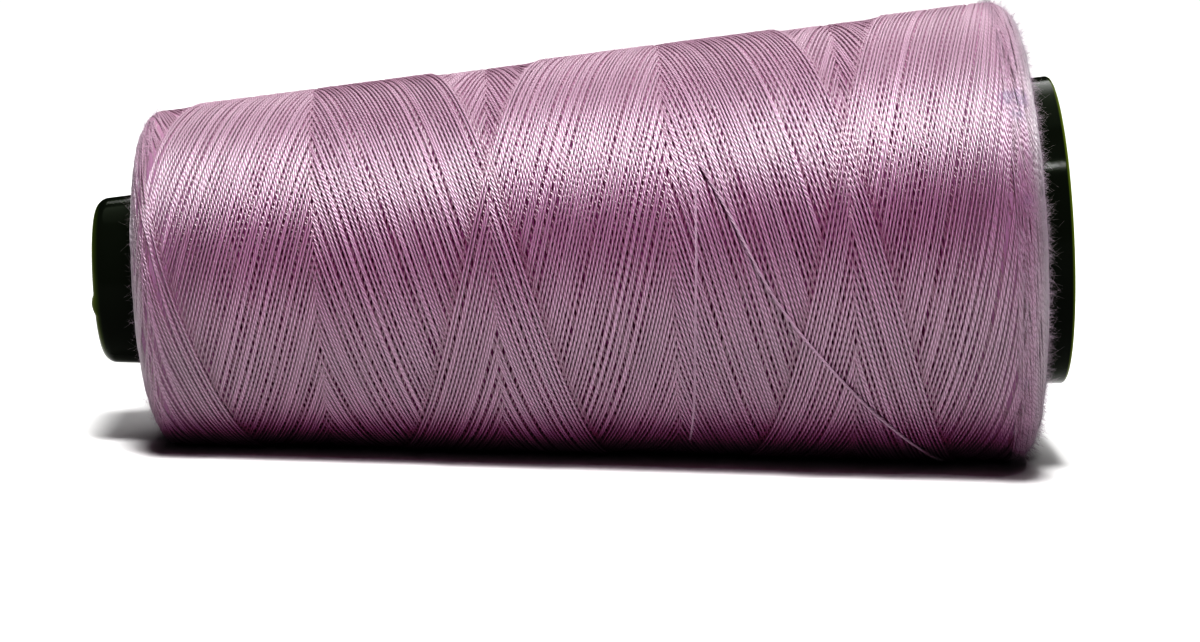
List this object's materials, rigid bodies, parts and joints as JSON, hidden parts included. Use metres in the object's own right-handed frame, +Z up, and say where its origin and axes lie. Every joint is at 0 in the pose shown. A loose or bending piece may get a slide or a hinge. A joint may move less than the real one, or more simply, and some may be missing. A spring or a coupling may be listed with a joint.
{
  "type": "cone of thread",
  "caption": "Cone of cross-wound lustrous thread on a tapered plastic tube, lying on its side, with a loose strand across the winding.",
  "frame": {"origin": "centre of the footprint on the surface that the cone lies on, without the loose strand", "axes": "+X runs level along the lowest line towards the wide base, +Z is up, the loose strand lies on the -Y side; the tube's axis rises towards +X by 4 degrees 20 minutes"},
  "size_m": [0.1166, 0.0549, 0.0544],
  "materials": {
    "thread": "lustrous three-ply twisted thread",
    "tube": "moulded, smooth"
  },
  "bodies": {
    "root": {"tube": "tube", "thread_body": "thread", "loose_end": "thread"}
  },
  "joints": []
}
